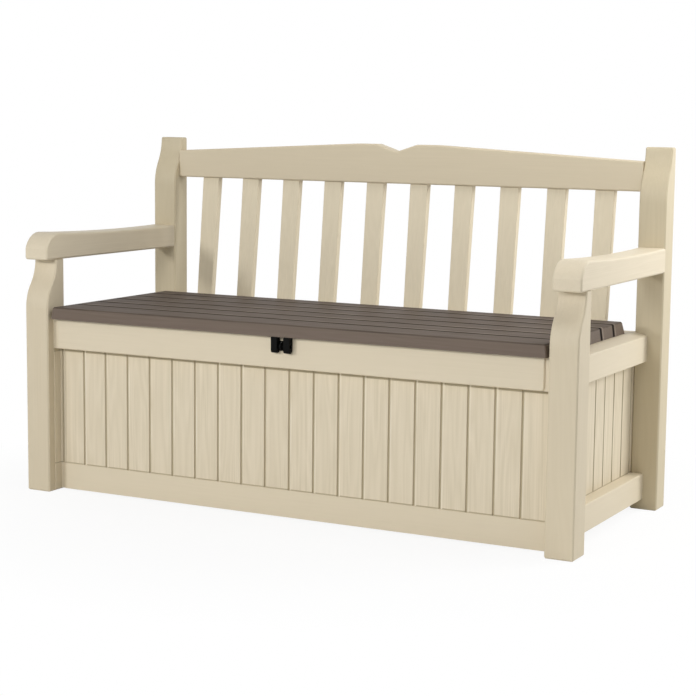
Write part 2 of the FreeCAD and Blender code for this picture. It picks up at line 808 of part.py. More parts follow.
# Floor panel: a plate on the flanges, stiffened by ribs below
floor_panel = new_body("floor_panel")
plate = rectangle(
    -wall_inner + S.fit_gap,
    front_wall_rear + S.fit_gap,
    wall_inner - S.fit_gap,
    back_wall_inner - S.fit_gap,
)
pad(floor_panel, section_z(floor_panel, floor_bottom, [plate]), S.floor_thickness)
rib_end = flange_end - S.floor_flange
rib_first = front_wall_rear + S.floor_flange * 2
rib_span = wall_length - S.floor_flange * 4
rib = rectangle(-rib_end, rib_first, rib_end, rib_first + S.floor_thickness)
rib_pad = pad(floor_panel, section_z(floor_panel, floor_bottom, [rib]), S.panel_wall, -1)
repeat(floor_panel, rib_pad, "Y_Axis", rib_span - S.floor_thickness, S.floor_rib_count)


# Backrest slats: leaning tapered tubes between the deck and the crest rail
def slat_section(body, height, x, width, shape, inset):
    face = slat_front_at(height)
    left = x - width / 2
    return section_z(
        body,
        height,
        [shape(left + inset, face + inset, left + width - inset, face + S.slat_thickness - inset)],
    )


def slat_outside(left, low, right, high):
    return eased_rectangle(left, low, right, high, S.slat_edge)


slats = []
for place in range(SIZES["slat_count"]):
    slat = new_body(f"backrest_slat_{place + 1:02d}")
    slat_x = S.slat_pitch * place - slat_end
    for kind, shape, inset in (
        ("PartDesign::AdditiveLoft", slat_outside, 0),
        ("PartDesign::SubtractiveLoft", rectangle, S.slat_wall),
    ):
        foot = slat_section(slat, slat_low, slat_x, S.slat_bottom_width, shape, inset)
        head = slat_section(slat, slat_high, slat_x, S.slat_top_width, shape, inset)
        loft(slat, kind, foot, head)
    slats.append(slat)


# Crest rail: hollow, rising to two low humps with a notch between them, and tenoned into the posts
crest_end_top = S.crest_bottom + S.crest_end_height
crest_top = crest_end_top + S.crest_hump_rise


def crest_outline(inset):
    return [
        (-leg_inner + inset, S.crest_bottom + inset),
        (leg_inner - inset, S.crest_bottom + inset),
        (leg_inner - inset, crest_end_top - inset),
        (S.crest_hump_outer, crest_top - inset),
        (S.crest_hump_inner, crest_top - inset),
        (0, crest_top - S.crest_notch_depth - inset),
        (-S.crest_hump_inner, crest_top - inset),
        (-S.crest_hump_outer, crest_top - inset),
        (-leg_inner + inset, crest_end_top - inset),
    ]


crest_rail = new_body("crest_rail")
pad(crest_rail, section_y(crest_rail, crest_rear, [crest_outline(0)]), S.crest_thickness)
bevel_edges(
    crest_rail,
    S.crest_edge,
    lambda box: at(box.YMin, box.YMax, crest_front, crest_rear) and box.XLength > 1,
)
cut(
    crest_rail,
    section_y(crest_rail, crest_rear - S.crest_wall, [crest_outline(S.crest_wall)]),
    S.crest_thickness - S.crest_wall * 2,
)
socket_half = S.slat_top_width / 2 + S.fit_gap
crest_roof = S.crest_bottom + S.crest_wall
socket = rectangle(
    -slat_end - socket_half,
    slat_front_at(S.crest_bottom) - S.fit_gap,
    -slat_end + socket_half,
    slat_front_at(crest_roof) + S.slat_thickness + S.fit_gap,
)
socket_cut = cut(crest_rail, section_z(crest_rail, S.crest_bottom, [socket]), S.crest_wall)
repeat(crest_rail, socket_cut, "X_Axis", slat_end * 2, S.slat_count)
tenon = rectangle(
    crest_tenon_front,
    crest_tenon_low,
    crest_tenon_front + S.crest_tenon_thickness,
    crest_tenon_low + S.crest_tenon_height,
)
pad(crest_rail, section_x(crest_rail, leg_inner, [tenon]), S.crest_tenon_length)
pad(crest_rail, section_x(crest_rail, -leg_inner, [tenon]), S.crest_tenon_length, -1)


# Hinge pins: a headed pin through the ears and the lid knuckle of each hinge
pin_half = ear_near + S.ear_length
hinge_pin_right = new_body("hinge_pin_right")
pin_start = S.hinge_spacing / 2 - pin_half
shank = (hinge_y, hinge_z, S.pin_radius)
pad(hinge_pin_right, section_x(hinge_pin_right, pin_start, circles=[shank]), pin_half * 2)
head = (hinge_y, hinge_z, S.pin_head_radius)
pin_finish = S.hinge_spacing / 2 + pin_half
pad(hinge_pin_right, section_x(hinge_pin_right, pin_finish, circles=[head]), S.pin_head_length)


# Padlock eye: a nose with a cross hole on a plate against the front rail
eye_plate = front_rail - S.eye_plate_thickness
padlock_eye = new_body("padlock_eye")
nose = [
    (latch_y, latch_z - S.eye_nose_radius),
    (eye_plate, latch_z - S.eye_nose_radius),
    (eye_plate, latch_z + S.eye_nose_radius),
    (latch_y, latch_z + S.eye_nose_radius, S.eye_nose_radius),
    (latch_y - S.eye_nose_radius, latch_z, S.eye_nose_radius),
]
shackle = (latch_y, latch_z, S.shackle_hole_radius)
plate = rectangle(
    -S.eye_plate_width / 2,
    latch_z - S.eye_plate_height / 2,
    S.eye_plate_width / 2,
    latch_z + S.eye_plate_height / 2,
)
pad(padlock_eye, section_y(padlock_eye, front_rail, [plate]), S.eye_plate_thickness)
pad(padlock_eye, section_x(padlock_eye, -S.eye_width / 2, [nose], [shackle]), S.eye_width)


# Seat lid: six planks in one moulding, ribbed below, with a knuckle for each hinge
seat_lid = new_body("seat_lid")
profile = [
    (lid_front, S.lid_bottom),
    (lid_rear, S.lid_bottom),
    (lid_rear - S.lid_rear_draft, lid_top),
    (lid_front + S.lid_front_draft, lid_top),
]
pad(seat_lid, section_x(seat_lid, -lid_end, [profile]), S.lid_length)
top_end = lid_end - S.lid_end_draft
end_drafts = [
    [(lid_end, S.lid_bottom), (lid_end, lid_top), (top_end, lid_top)],
    [(-lid_end, S.lid_bottom), (-top_end, lid_top), (-lid_end, lid_top)],
]
cut(seat_lid, section_y(seat_lid, lid_rear, end_drafts), S.lid_depth)
bevel_edges(seat_lid, S.lid_edge, lambda box: box.ZMax > value_of(lid_top) - 1)
groove_count = S.lid_plank_count - 1
lid_pitch = (S.lid_depth - S.lid_front_plank - S.lid_rear_plank) / (groove_count - 1)
groove_first = lid_front + S.lid_front_plank
groove_middles = [groove_first + lid_pitch * place for place in range(SIZES["lid_plank_count"] - 1)]
cell_end = lid_end - S.lid_skirt
lid_cell_pitch = (cell_end * 2 + S.lid_cross_rib) / S.lid_cell_count
row_fronts = [lid_front + S.lid_skirt] + [middle + S.lid_rib / 2 for middle in groove_middles]
row_rears = [middle - S.lid_rib / 2 for middle in groove_middles] + [lid_rear - S.lid_rear_skirt]
cell_height = S.lid_thickness - S.lid_wall
for row_front, row_rear in zip(row_fronts, row_rears):
    cell = rectangle(-cell_end, row_front, -cell_end + lid_cell_pitch - S.lid_cross_rib, row_rear)
    cell_cut = cut(seat_lid, section_z(seat_lid, S.lid_bottom, [cell]), cell_height)
    repeat(seat_lid, cell_cut, "X_Axis", lid_cell_pitch * (S.lid_cell_count - 1), S.lid_cell_count)
low_groove = lid_end - S.lid_groove_depth
top_groove = top_end - S.lid_groove_depth
groove_outer = lid_end + S.lid_groove_depth
groove_top = lid_top + S.lid_groove_depth
groove = [
    (-groove_outer, S.lid_bottom),
    (-low_groove, S.lid_bottom),
    (-top_groove, lid_top - S.lid_groove_depth),
    (top_groove, lid_top - S.lid_groove_depth),
    (low_groove, S.lid_bottom),
    (groove_outer, S.lid_bottom),
    (groove_outer, groove_top),
    (-groove_outer, groove_top),
]
groove_rear = groove_first + S.lid_groove_width / 2
groove_cut = cut(seat_lid, section_y(seat_lid, groove_rear, [groove]), S.lid_groove_width)
repeat(seat_lid, groove_cut, "Y_Axis", lid_pitch * (groove_count - 1), groove_count)
knuckle = [
    (lid_rear - S.lid_rear_skirt, S.lid_bottom),
    (hinge_y - S.knuckle_radius, S.lid_bottom),
    (hinge_y - S.knuckle_radius, hinge_z, S.knuckle_radius),
    (hinge_y, hinge_z - S.knuckle_radius, S.knuckle_radius),
    (hinge_y + S.knuckle_radius, hinge_z, S.knuckle_radius),
    (hinge_y, hinge_z + S.knuckle_radius),
    (lid_rear - S.lid_rear_skirt, hinge_z + S.knuckle_radius),
]
for hinge_x in (-S.hinge_spacing / 2, S.hinge_spacing / 2):
    knuckle_start = hinge_x - knuckle_half
    pad(seat_lid, section_x(seat_lid, knuckle_start, [knuckle], [hinge_bore]), S.knuckle_length)
hasp_plate_low = S.lid_bottom + S.hasp_plate_lift
boss_low = hasp_plate_low + S.hasp_plate_thickness
hasp_plate_front = lid_front + S.lid_skirt + S.fit_gap
boss_height = S.lid_bottom + cell_height - boss_low
hasp_plate_rear = hasp_plate_front + S.hasp_plate_length
boss_inner = S.hasp_ear_outer - S.hasp_boss_width
bosses = [
    rectangle(-S.hasp_ear_outer, hasp_plate_front, -boss_inner, hasp_plate_rear),
    rectangle(boss_inner, hasp_plate_front, S.hasp_ear_outer, hasp_plate_rear),
]
pad(seat_lid, section_z(seat_lid, boss_low, bosses), boss_height)


# Lid hasp: a plate under the front of the lid with two ears that straddle the padlock eye
lid_hasp = new_body("lid_hasp")
hasp_plate = rectangle(-S.hasp_ear_outer, hasp_plate_front, S.hasp_ear_outer, hasp_plate_rear)
pad(lid_hasp, section_z(lid_hasp, hasp_plate_low, [hasp_plate]), S.hasp_plate_thickness)
hasp_shoulder = S.lid_bottom - S.fit_gap
hasp_rear = latch_y + S.hasp_nose_radius
hasp_low = S.lid_bottom - S.hasp_ear_reach
hasp_ear = [
    (latch_y - S.hasp_nose_radius, hasp_shoulder),
    (latch_y - S.hasp_nose_radius, hasp_low + S.hasp_nose_radius, S.hasp_nose_radius),
    (latch_y, hasp_low, S.hasp_nose_radius),
    (hasp_rear, hasp_low + S.hasp_nose_radius),
    (hasp_rear, boss_low),
    (hasp_plate_front, boss_low),
    (hasp_plate_front, hasp_shoulder),
]
for ear_start in (-S.hasp_ear_outer, S.hasp_ear_inner):
    ear_width = S.hasp_ear_outer - S.hasp_ear_inner
    pad(lid_hasp, section_x(lid_hasp, ear_start, [hasp_ear], [shackle]), ear_width)


# Left-hand twins, then a check of every feature and the files
twins = [
    mirrored(front_leg_right, "front_leg_left"),
    mirrored(rear_post_right, "rear_post_left"),
    mirrored(armrest_right, "armrest_left"),
    mirrored(side_panel_right, "side_panel_left"),
    mirrored(hinge_pin_right, "hinge_pin_left"),
]
pieces = [
    front_leg_right,
    rear_post_right,
    armrest_right,
    side_panel_right,
    front_panel,
    back_panel,
    floor_panel,
    *slats,
    crest_rail,
    padlock_eye,
    hinge_pin_right,
    seat_lid,
    lid_hasp,
    *twins,
]
doc.recompute()
for item in doc.Objects:
    if "Invalid" in item.State or "Error" in item.State:
        raise ValueError(f"{item.Label} did not build")
os.makedirs("parts", exist_ok=True)
for piece in pieces:
    if piece.Shape.isNull() or not piece.Shape.isValid() or not piece.Shape.Solids:
        raise ValueError(f"{piece.Label} has no valid solid")
    piece.Shape.exportStep(f"parts/{piece.Label}.step")
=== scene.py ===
import math

import bmesh
import bpy
from mathutils import Matrix, Vector


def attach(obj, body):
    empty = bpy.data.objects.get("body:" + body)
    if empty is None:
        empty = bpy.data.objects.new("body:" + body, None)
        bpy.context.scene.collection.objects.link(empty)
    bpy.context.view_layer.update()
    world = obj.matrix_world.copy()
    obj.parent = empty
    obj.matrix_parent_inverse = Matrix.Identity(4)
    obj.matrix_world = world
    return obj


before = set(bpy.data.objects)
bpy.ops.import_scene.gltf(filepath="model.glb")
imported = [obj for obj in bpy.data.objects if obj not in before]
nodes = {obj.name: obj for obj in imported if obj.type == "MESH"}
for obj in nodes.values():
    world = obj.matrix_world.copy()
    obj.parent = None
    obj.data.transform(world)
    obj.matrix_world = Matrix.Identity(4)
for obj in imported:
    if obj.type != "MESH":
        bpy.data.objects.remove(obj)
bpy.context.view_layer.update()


# The box: front, back, side and floor panels.
# Each is one injection moulding in cream polypropylene, with embossed upright planks between
# smooth rails. The panels slot into the legs and posts by tabs, so no fastener shows.
MM = 0.001


def linear(hex_colour):
    # the curve of the sRGB standard
    channels = [int(hex_colour[place : place + 2], 16) / 255 for place in (1, 3, 5)]
    return [c / 12.92 if c <= 0.04045 else ((c + 0.055) / 1.055) ** 2.4 for c in channels] + [1.0]


def node(tree, kind, inputs=None, **settings):
    item = tree.nodes.new(kind)
    for name, value in settings.items():
        setattr(item, name, value)
    for socket, value in (inputs or {}).items():
        if isinstance(value, bpy.types.NodeSocket):
            tree.links.new(value, item.inputs[socket])
        else:
            item.inputs[socket].default_value = value
    return item


def new_material(name):
    material = bpy.data.materials.new(name)
    material.use_nodes = True
    tree = material.node_tree
    return material, tree, tree.nodes["Principled BSDF"]


# wood figure pressed into the mould: fibres 2.6 mm wide and flame-shaped rings on long contours,
# both about twice as coarse as the real emboss so that they show at the photograph's size.
# Each has a width, a length along the grain and a detail of its noise.
FIBRES = (2.6 * MM, 260 * MM, 3.0)
RINGS = (34 * MM, 420 * MM, 1.0)
PATCHES = (55 * MM, 380 * MM, 0.0)
NOISE_MIDDLE = 0.5
PATCH_SMOOTH = 0.35
PATCH_FULL = 0.65
FIBRE_FAINT = 0.2
FIBRE_STRONG = 1.5
RING_COUNT = 7.0
RING_FOLD = 0.5
RING_SHARE = 0.5
# every plank takes its figure from another place along a long board, in metres
BOARD_LENGTH = 9.0


def grain_height(tree, along, across, plank=None, start=0.0):
    spot = node(tree, "ShaderNodeTexCoord").outputs["Object"]
    place = node(tree, "ShaderNodeSeparateXYZ", {0: spot}).outputs
    depth = ({"X", "Y", "Z"} - {along, across}).pop()
    run = place[along]
    if plank:
        first = {0: place[across], 1: start}
        count = node(tree, "ShaderNodeMath", first, operation="SUBTRACT").outputs[0]
        count = node(tree, "ShaderNodeMath", {0: count, 1: plank}, operation="DIVIDE").outputs[0]
        count = node(tree, "ShaderNodeMath", {0: count}, operation="FLOOR").outputs[0]
        shuffle = node(tree, "ShaderNodeTexWhiteNoise", {"W": count}, noise_dimensions="1D")
        slide = {0: shuffle.outputs["Value"], 1: BOARD_LENGTH, 2: run}
        run = node(tree, "ShaderNodeMath", slide, operation="MULTIPLY_ADD").outputs[0]
    heights = []
    for width, length, detail in (FIBRES, RINGS, PATCHES):
        steps = [
            node(tree, "ShaderNodeMath", {0: way, 1: 1 / size}, operation="MULTIPLY").outputs[0]
            for way, size in ((place[across], width), (place[depth], width), (run, length))
        ]
        spot = node(tree, "ShaderNodeCombineXYZ", dict(enumerate(steps))).outputs[0]
        noise = {"Vector": spot, "Scale": 1.0, "Detail": detail}
        heights.append(node(tree, "ShaderNodeTexNoise", noise).outputs[0])
    fibre, figure, patch = heights
    # the fibres come and go, so that some stretches of a plank are nearly smooth
    fading = {
        "Value": patch,
        "From Min": PATCH_SMOOTH,
        "From Max": PATCH_FULL,
        "To Min": FIBRE_FAINT,
        "To Max": FIBRE_STRONG,
    }
    strength = node(tree, "ShaderNodeMapRange", fading).outputs[0]
    swing = {0: fibre, 1: NOISE_MIDDLE}
    swing = node(tree, "ShaderNodeMath", swing, operation="SUBTRACT").outputs[0]
    fibre = {0: swing, 1: strength, 2: NOISE_MIDDLE}
    fibre = node(tree, "ShaderNodeMath", fibre, operation="MULTIPLY_ADD").outputs[0]
    rings = {0: figure, 1: RING_COUNT}
    rings = node(tree, "ShaderNodeMath", rings, operation="MULTIPLY").outputs[0]
    rings = node(tree, "ShaderNodeMath", {0: rings, 1: RING_FOLD}, operation="PINGPONG").outputs[0]
    both = {0: rings, 1: RING_SHARE, 2: fibre}
    return node(tree, "ShaderNodeMath", both, operation="MULTIPLY_ADD").outputs[0]


GRAIN_MIDDLE = 0.62


def calmed(tree, height, share):
    # the same grain with only a share of its depth, for the smoother faces of the mould
    depth = {0: height, 1: share, 2: GRAIN_MIDDLE * (1 - share)}
    return node(tree, "ShaderNodeMath", depth, operation="MULTIPLY_ADD").outputs[0]


def height_band(tree, low, high):
    # 1 between two heights, as on the planks between their rails
    spot = node(tree, "ShaderNodeTexCoord").outputs["Object"]
    up = node(tree, "ShaderNodeSeparateXYZ", {0: spot}).outputs["Z"]
    band = {0: up, 1: (low + high) / 2, 2: (high - low) / 2}
    return node(tree, "ShaderNodeMath", band, operation="COMPARE").outputs[0]


BAND_CORE = 0.5
# stretches of the pale band beside each joint: rub with a painted highlight
RUB_AND_HIGHLIGHT_LENGTH = 130 * MM
RUB_AND_HIGHLIGHT_DETAIL = 1.0
RUB_AND_HIGHLIGHT_NONE = 0.38
RUB_AND_HIGHLIGHT_FULL = 0.62


def groove_wear_and_painted_light(tree, across, plank, start, dirty_and_shaded, rubbed_and_lit):
    # dirt and rub are bands beside each joint between two planks: dirt in the groove with painted
    # shade where the groove's shade falls, fading out on its edges, and rub in stretches on the
    # plank edge after it, with a painted highlight where that edge catches the light, which use
    # leaves a little paler
    spot = node(tree, "ShaderNodeTexCoord").outputs["Object"]
    place = node(tree, "ShaderNodeSeparateXYZ", {0: spot}).outputs
    aside = {0: place[across], 1: start - plank / 2}
    aside = node(tree, "ShaderNodeMath", aside, operation="SUBTRACT").outputs[0]
    aside = {0: aside, 1: plank}
    aside = node(tree, "ShaderNodeMath", aside, operation="FLOORED_MODULO").outputs[0]
    bands = []
    for low, high in (dirty_and_shaded, rubbed_and_lit):
        off = {0: aside, 1: plank / 2 + (low + high) / 2}
        off = node(tree, "ShaderNodeMath", off, operation="SUBTRACT").outputs[0]
        off = node(tree, "ShaderNodeMath", {0: off}, operation="ABSOLUTE").outputs[0]
        half = (high - low) / 2
        band = {
            "Value": off,
            "From Min": half * BAND_CORE,
            "From Max": half,
            "To Min": 1.0,
            "To Max": 0.0,
        }
        bands.append(node(tree, "ShaderNodeMapRange", band).outputs[0])
    dirt_and_shade, rub_and_highlight = bands
    noise = {"Vector": spot, "Scale": 1 / RUB_AND_HIGHLIGHT_LENGTH, "Detail": RUB_AND_HIGHLIGHT_DETAIL}
    stretch = node(tree, "ShaderNodeTexNoise", noise).outputs[0]
    stretch = {"Value": stretch, "From Min": RUB_AND_HIGHLIGHT_NONE, "From Max": RUB_AND_HIGHLIGHT_FULL}
    stretch = node(tree, "ShaderNodeMapRange", stretch).outputs[0]
    return dirt_and_shade, node(tree, "ShaderNodeMath", {0: rub_and_highlight, 1: stretch}, operation="MULTIPLY").outputs[0]


GRAIN_DARKEST = 0.32
GRAIN_LIGHTEST = 0.92
RIDGE_POLISH = 0.06
DIRT_AND_SHADE_ROUGHNESS = 0.9
EMBOSS_STRENGTH = 0.6
POLYPROPYLENE_IOR = 1.49
# the sockets of a Mix node that mixes colours
COLOUR_A, COLOUR_B, COLOUR_MIXED = 6, 7, 2


def moulded_polypropylene(name, pattern, light, dark, dirt_and_shade, rub_and_highlight, roughness, gloss, relief):
    # satin moulded polypropylene: one even pigment with soft wide highlights, an embossed grain
    # that catches side light and wears a little shinier on its ridges, and grooves greyed by fine
    # outdoor dirt and darkened by painted shade, with a pale band of rub and painted highlight
    # beside them
    material, tree, shader = new_material(name)
    height, grooves = pattern(tree)
    tint = {"Value": height, "From Min": GRAIN_DARKEST, "From Max": GRAIN_LIGHTEST}
    tint = node(tree, "ShaderNodeMapRange", tint).outputs[0]
    pigment = {"Factor": tint, COLOUR_A: linear(dark), COLOUR_B: linear(light)}
    colour = node(tree, "ShaderNodeMix", pigment, data_type="RGBA").outputs[COLOUR_MIXED]
    for factor, paint in zip(grooves, (dirt_and_shade, rub_and_highlight)):
        wear_and_painted_light = {"Factor": factor, COLOUR_A: colour, COLOUR_B: linear(paint)}
        colour = node(tree, "ShaderNodeMix", wear_and_painted_light, data_type="RGBA").outputs[COLOUR_MIXED]
    polish = {
        "Value": tint,
        "To Min": roughness + RIDGE_POLISH,
        "To Max": roughness - RIDGE_POLISH,
    }
    polish = node(tree, "ShaderNodeMapRange", polish).outputs[0]
    for factor in grooves[:1]:
        dulled = {"Factor": factor, "A": polish, "B": DIRT_AND_SHADE_ROUGHNESS}
        polish = node(tree, "ShaderNodeMix", dulled).outputs["Result"]
    emboss = {"Strength": EMBOSS_STRENGTH, "Distance": relief, "Height": height}
    bump = node(tree, "ShaderNodeBump", emboss)
    tree.links.new(colour, shader.inputs["Base Color"])
    tree.links.new(polish, shader.inputs["Roughness"])
    tree.links.new(bump.outputs[0], shader.inputs["Normal"])
    shader.inputs["IOR"].default_value = POLYPROPYLENE_IOR
    shader.inputs["Specular IOR Level"].default_value = gloss
    return material


CREAM_LIGHT = "#DED2BB"
CREAM_DARK = "#D0C4AB"
# the groove colour is dirt with painted shade, where the grooves' shade falls
CREAM_DIRT_AND_SHADE = "#B5A98F"
# the rub colour is a painted highlight on the plank edges beside the grooves, with a little rub
CREAM_RUB_AND_HIGHLIGHT = "#E4DAC5"
CREAM_ROUGHNESS = 0.48
CREAM_GLOSS = 0.3
CREAM_RELIEF = 0.35 * MM


def cream(name, pattern, light=CREAM_LIGHT, dark=CREAM_DARK):
    return moulded_polypropylene(
        name,
        pattern,
        light=light,
        dark=dark,
        dirt_and_shade=CREAM_DIRT_AND_SHADE,
        rub_and_highlight=CREAM_RUB_AND_HIGHLIGHT,
        roughness=CREAM_ROUGHNESS,
        gloss=CREAM_GLOSS,
        relief=CREAM_RELIEF,
    )


# bands beside a joint, from it to either side (dirt with painted shade, and rub with painted
# highlight), and strips at the ends of the planks
DIRT_AND_SHADE_BAND = (-3 * MM, 3 * MM)
SIDE_DIRT_AND_SHADE_BAND = (-5 * MM, 5 * MM)
RUB_AND_HIGHLIGHT_BAND = (2 * MM, 7 * MM)
# a strip of painted shadow under the upper rail, and a darker strip at the feet of the planks
RAIL_SHADOW_STRIP = 9 * MM
LEDGE = 0.3 * MM
PLANK_FOOT_STRIP = 2.6 * MM
RAIL_GRAIN = 0.2


def planked(tree, across, plank, start, low, high, dirty_and_shaded=DIRT_AND_SHADE_BAND):
    # upright grain and grooves on the planks, and a nearly smooth finish on the rails above and
    # below them
    band = height_band(tree, low + LEDGE, high)
    upright = grain_height(tree, "Z", across, plank, start)
    level = calmed(tree, grain_height(tree, across, "Z"), RAIL_GRAIN)
    grain = {"Factor": band, "A": level, "B": upright}
    height = node(tree, "ShaderNodeMix", grain).outputs["Result"]
    dirt_and_shade, rub_and_highlight = [
        node(tree, "ShaderNodeMath", {0: amount, 1: band}, operation="MULTIPLY").outputs[0]
        for amount in groove_wear_and_painted_light(tree, across, plank, start, dirty_and_shaded, RUB_AND_HIGHLIGHT_BAND)
    ]
    # painted shadow on the strip close under the upper rail, where the rail's shadow falls, and a
    # darker strip at the feet of the planks, both added to the groove band
    for strip in ((high - RAIL_SHADOW_STRIP, high), (low + LEDGE, low + PLANK_FOOT_STRIP)):
        more = {0: dirt_and_shade, 1: height_band(tree, *strip)}
        dirt_and_shade = node(tree, "ShaderNodeMath", more, operation="MAXIMUM").outputs[0]
    return height, [dirt_and_shade, rub_and_highlight]


def plain_grain(along, across, share):
    return lambda tree: (calmed(tree, grain_height(tree, along, across), share), [])


WELD = 0.01 * MM
RADIUS_STEPS = 3
SHARP_ANGLE = math.radians(25)


def dress(name, material, edge):
    # the finish of a CAD node, and the mould's own small radius on every sharp edge
    piece = nodes[name]
    piece.material_slots[0].material = material
    weld = piece.modifiers.new("weld", "WELD")
    weld.merge_threshold = WELD
    bevel = piece.modifiers.new("mould radius", "BEVEL")
    bevel.width = edge
    bevel.segments = RADIUS_STEPS
    bevel.limit_method = "ANGLE"
    bevel.angle_limit = SHARP_ANGLE


FRONT_PLANK = 62.4 * MM
FRONT_PLANK_START = -624 * MM
FRONT_PLANK_LOW = 66 * MM
FRONT_PLANK_HIGH = 345.5 * MM
SIDE_PLANK = 60 * MM
SIDE_PLANK_START = -191.5 * MM
SIDE_PLANK_LOW = 85.5 * MM
SIDE_PLANK_HIGH = 348 * MM
FLOOR_GRAIN = 1.0
PANEL_EDGE = 0.8 * MM

front_finish = cream(
    "cream polypropylene, front planks",
    lambda tree: planked(
        tree, "X", FRONT_PLANK, FRONT_PLANK_START, FRONT_PLANK_LOW, FRONT_PLANK_HIGH
    ),
)
back_finish = cream(
    "cream polypropylene, back planks",
    lambda tree: planked(
        tree, "X", FRONT_PLANK, FRONT_PLANK_START, SIDE_PLANK_LOW, SIDE_PLANK_HIGH
    ),
)
side_finish = cream(
    "cream polypropylene, side planks",
    lambda tree: planked(
        tree, "Y", SIDE_PLANK, SIDE_PLANK_START, SIDE_PLANK_LOW, SIDE_PLANK_HIGH, SIDE_DIRT_AND_SHADE_BAND
    ),
)
floor_finish = cream("cream polypropylene, floor", plain_grain("X", "Y", FLOOR_GRAIN))
dress("front_panel", front_finish, PANEL_EDGE)
dress("back_panel", back_finish, PANEL_EDGE)
dress("side_panel_left", side_finish, PANEL_EDGE)
dress("side_panel_right", side_finish, PANEL_EDGE)
dress("floor_panel", floor_finish, PANEL_EDGE)


# The legs and posts: hollow mouldings in cream polypropylene, which stand on the ground and hold
# the panels' tabs in slots.
# Their grain runs upright, and their edges are well rounded so that they are kind to the hand.
LEG_EDGE = 1.6 * MM
LEG_GRAIN = 0.35
LEG_LIGHT = "#D5C9B1"
LEG_DARK = "#CABDA3"
leg_finish = cream(
    "cream polypropylene, upright grain", plain_grain("Z", "X", LEG_GRAIN), LEG_LIGHT, LEG_DARK
)
for name in ("front_leg_left", "front_leg_right"):
    dress(name, leg_finish, LEG_EDGE)
# the posts are a shade darker than the legs: painted shade, for the lesser light that reaches them
# at the back
SHADED_POST_LIGHT = "#CBBFA4"
SHADED_POST_DARK = "#C0B396"
shaded_post_finish = cream(
    "cream polypropylene, post grain, painted shade", plain_grain("Z", "X", LEG_GRAIN), SHADED_POST_LIGHT, SHADED_POST_DARK
)
for name in ("rear_post_left", "rear_post_right"):
    dress(name, shaded_post_finish, LEG_EDGE)


# The armrests: hollow mouldings in cream polypropylene, each set on a tenon of the front leg and
# tenoned into the rear post. Their grain runs from the nose to the back.
arm_finish = cream("cream polypropylene, armrest grain", plain_grain("Y", "X", LEG_GRAIN))
for name in ("armrest_left", "armrest_right"):
    dress(name, arm_finish, LEG_EDGE)


# The backrest: ten tapered slats in cream polypropylene, which lean back from the deck into the
# crest rail and have a tenon at both ends.
# The slats have upright grain, and the crest rail has long grain.
SLAT_EDGE = 0.7 * MM
CREST_EDGE = 1.2 * MM
SLAT_GRAIN = 0.5
# painted light: the slats take a lighter, warmer cream than the panels, for the light on the
# backrest
LIT_SLAT_LIGHT = "#E1D5BB"
LIT_SLAT_DARK = "#D4C8AD"
# painted shade: the crest rail takes a darker, warmer cream than the panels, for the lesser light
# on it
SHADED_CREST_LIGHT = "#D9CCB2"
SHADED_CREST_DARK = "#CBBEA3"
lit_slat_finish = cream(
    "cream polypropylene, slat grain", plain_grain("Z", "X", SLAT_GRAIN), LIT_SLAT_LIGHT, LIT_SLAT_DARK
)
for name in nodes:
    if name.startswith("backrest_slat"):
        dress(name, lit_slat_finish, SLAT_EDGE)
shaded_crest_finish = cream(
    "cream polypropylene, crest grain", plain_grain("X", "Z", RAIL_GRAIN), SHADED_CREST_LIGHT, SHADED_CREST_DARK
)
dress("crest_rail", shaded_crest_finish, CREST_EDGE)


# The hinge pins: headed steel pins plated with zinc, one at each hinge of the lid.
# Each goes through two ears on the back panel's deck and the lid's knuckle between them.
STEEL_LIGHT = "#C9C8C2"
STEEL_DARK = "#A9ABAC"
STEEL_MOTTLE = 2 * MM
STEEL_DETAIL = 3.0
STEEL_BRIGHT = 0.25
STEEL_DULL = 0.5
STEEL_RELIEF = 0.02 * MM
STEEL_RELIEF_STRENGTH = 0.2
PIN_EDGE = 0.3 * MM


def plated_steel(name):
    # bright zinc under a clear passivation: grey metal, softly mottled where the coating is
    # thicker, with a scatter of duller spots
    material, tree, shader = new_material(name)
    spot = node(tree, "ShaderNodeTexCoord").outputs["Object"]
    noise = {"Vector": spot, "Scale": 1 / STEEL_MOTTLE, "Detail": STEEL_DETAIL}
    mottle = node(tree, "ShaderNodeTexNoise", noise).outputs[0]
    zinc = {"Factor": mottle, COLOUR_A: linear(STEEL_DARK), COLOUR_B: linear(STEEL_LIGHT)}
    colour = node(tree, "ShaderNodeMix", zinc, data_type="RGBA").outputs[COLOUR_MIXED]
    rough = {"Value": mottle, "To Min": STEEL_BRIGHT, "To Max": STEEL_DULL}
    rough = node(tree, "ShaderNodeMapRange", rough).outputs[0]
    bump = {"Strength": STEEL_RELIEF_STRENGTH, "Distance": STEEL_RELIEF, "Height": mottle}
    bump = node(tree, "ShaderNodeBump", bump)
    tree.links.new(colour, shader.inputs["Base Color"])
    tree.links.new(rough, shader.inputs["Roughness"])
    tree.links.new(bump.outputs[0], shader.inputs["Normal"])
    shader.inputs["Metallic"].default_value = 1.0
    return material


steel = plated_steel("zinc-plated steel")
for name in ("hinge_pin_left", "hinge_pin_right"):
    dress(name, steel, PIN_EDGE)


# The seat lid: one brown-grey polypropylene moulding, six planks wide, that swings on the two
# hinge pins.
# Long grain runs along each plank, and its satin surface takes a soft sheen from the light above.
LID_LIGHT = "#7A6C61"
LID_DARK = "#5D5147"
